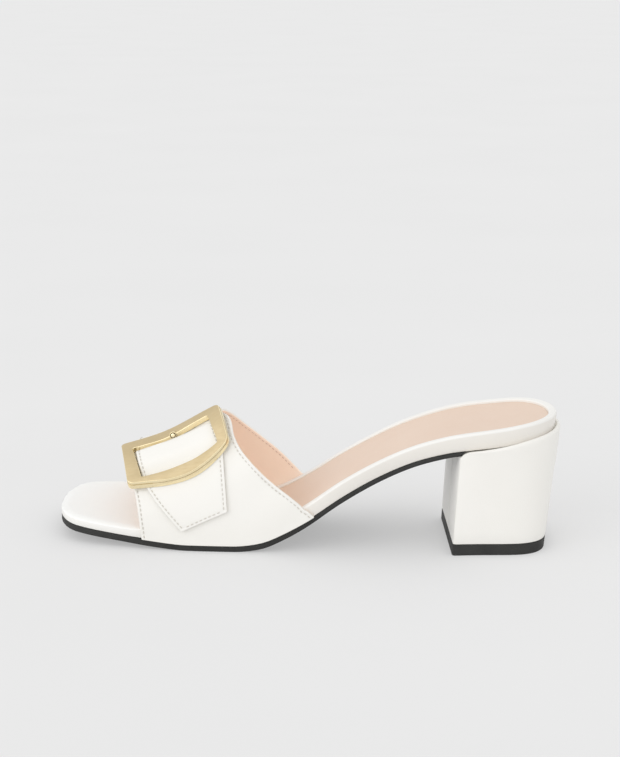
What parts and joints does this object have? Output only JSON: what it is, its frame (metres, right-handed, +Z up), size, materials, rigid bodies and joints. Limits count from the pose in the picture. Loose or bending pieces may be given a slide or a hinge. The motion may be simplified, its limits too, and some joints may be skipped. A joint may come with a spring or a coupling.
{
  "type": "mule shoe",
  "caption": "Left block-heeled slide mule with an open toe, a wide smooth-leather vamp and a buckled strap across it",
  "frame": {"origin": "middle of the shoe's bounding box, on the floor", "axes": "+X from the toe to the heel, +Y to the inner side of the foot, +Z up"},
  "size_m": [0.2406, 0.091, 0.0655],
  "materials": {
    "white_leather": "smooth, fine grain",
    "blush_leather": "matt, fine grain",
    "gold_metal": "pale, brushed face and polished edges",
    "black_sole": "matt"
  },
  "bodies": {
    "root": {"outsole": "black_sole", "footbed": "white_leather", "sock": "blush_leather", "vamp": "white_leather", "buckle_strap": "white_leather", "buckle": "gold_metal", "buckle_lug": "gold_metal", "heel_block": "white_leather", "heel_cap": "black_sole"}
  },
  "joints": []
}
